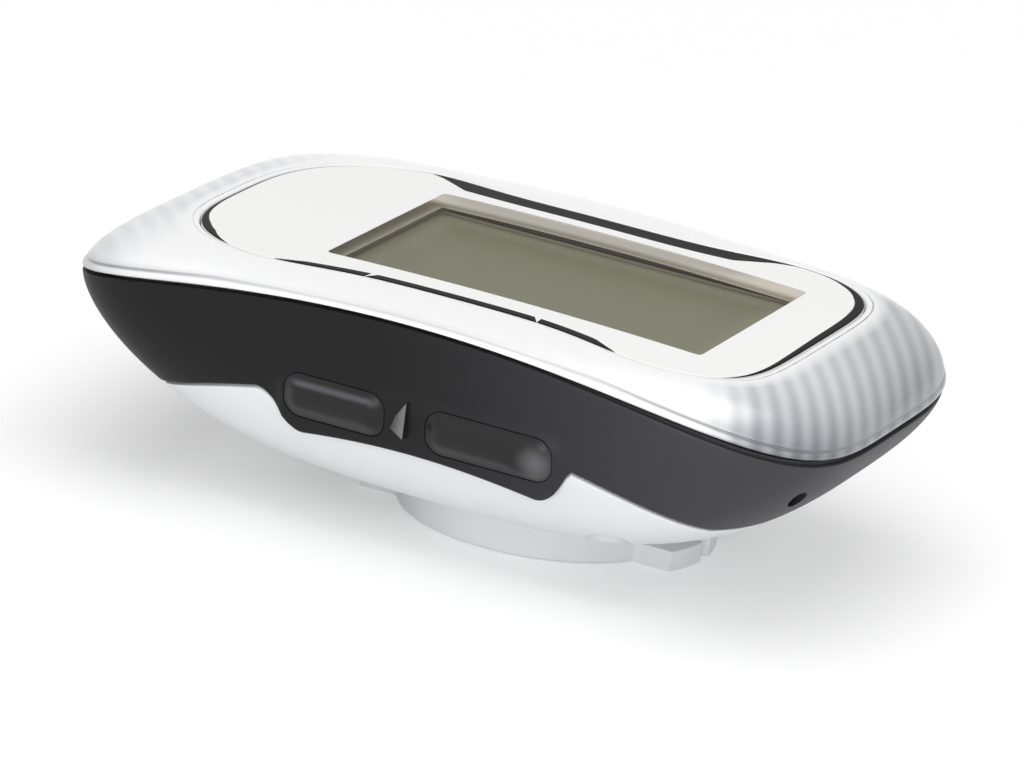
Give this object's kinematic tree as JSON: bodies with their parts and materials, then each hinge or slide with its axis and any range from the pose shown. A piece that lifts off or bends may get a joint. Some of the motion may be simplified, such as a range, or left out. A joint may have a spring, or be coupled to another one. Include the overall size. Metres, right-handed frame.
{
  "type": "cycling computer",
  "caption": "Handlebar cycling computer with a waisted lens, side buttons, a capped charging port and a quarter-turn boss on its back.",
  "frame": {"origin": "middle of the quarter-turn boss's flat face, on which the unit stands", "axes": "+Z out of the display, +Y forward towards the nose, +X to the rider's right"},
  "size_m": [0.049, 0.069, 0.022],
  "materials": {
    "pearl_silver": "pearl silver-white gloss, woven at the nose",
    "lens_print": "clear gloss lens, printed white round its window",
    "display_glass": "blank reflective display, olive grey",
    "charcoal": "fine satin, soft to the touch",
    "cover_white": "satin white",
    "seal_rubber": "matt black elastomer",
    "foam_black": "closed-cell foam and bonding film",
    "diffuser": "milky translucent",
    "black_plastic": "moulded, fine grain",
    "ribbon": "amber film",
    "board_green": "solder mask",
    "ceramic": "unglazed ceramic",
    "steel": "plain sheet and turned steel",
    "foil": "laminated foil pouch",
    "lead_red": "wire insulation"
  },
  "bodies": {
    "case": {"front_bezel": "pearl_silver", "display_lens": "lens_print", "lens_adhesive": "foam_black", "display_panel": "display_glass", "light_guide": "diffuser", "display_tray": "black_plastic", "display_flex": "ribbon", "side_band": "charcoal", "back_cover": "cover_white", "case_seal": "seal_rubber", "usb_socket": "steel", "main_board": "board_green", "gps_antenna": "ceramic", "processor": "black_plastic", "memory_chip": "black_plastic", "radio_chip": "black_plastic", "chip_antenna": "ceramic", "shield_can": "steel", "power_chip": "black_plastic", "pressure_sensor": "steel", "port_membrane": "foam_black", "buzzer": "black_plastic", "battery": "foil", "battery_pad": "foam_black", "battery_connector": "diffuser", "battery_lead_positive": "lead_red", "battery_lead_negative": "black_plastic", "switch_right_rear": "steel", "switch_right_front": "steel", "switch_left_rear": "steel", "switch_left_front": "steel", "case_screw_nose_right": "steel", "case_screw_nose_left": "steel", "case_screw_tail_right": "steel", "case_screw_tail_left": "steel", "board_screw_right": "steel", "board_screw_left": "steel"},
    "port_cap": {"usb_cap": "seal_rubber"},
    "key_right_rear": {"button_right_rear": "charcoal", "plunger_right_rear": "black_plastic"},
    "key_right_front": {"button_right_front": "charcoal", "plunger_right_front": "black_plastic"},
    "key_left_rear": {"button_left_rear": "charcoal", "plunger_left_rear": "black_plastic"},
    "key_left_front": {"button_left_front": "charcoal", "plunger_left_front": "black_plastic"}
  },
  "joints": [
    {"name": "press_right_rear", "type": "slide", "parent": "case", "child": "key_right_rear", "axis": [-1, 0, 0], "range_m": [0, 0.0005], "stiffness_N_per_m": 4000},
    {"name": "press_right_front", "type": "slide", "parent": "case", "child": "key_right_front", "axis": [-1, 0, 0], "range_m": [0, 0.0005], "stiffness_N_per_m": 4000},
    {"name": "press_left_rear", "type": "slide", "parent": "case", "child": "key_left_rear", "axis": [1, 0, 0], "range_m": [0, 0.0005], "stiffness_N_per_m": 4000},
    {"name": "press_left_front", "type": "slide", "parent": "case", "child": "key_left_front", "axis": [1, 0, 0], "range_m": [0, 0.0005], "stiffness_N_per_m": 4000},
    {"name": "cap_hinge", "type": "hinge", "parent": "case", "child": "port_cap", "pos_m": [0, -0.03293, 0.00973], "axis": [1, 0, 0], "range_deg": [0, 110]}
  ]
}
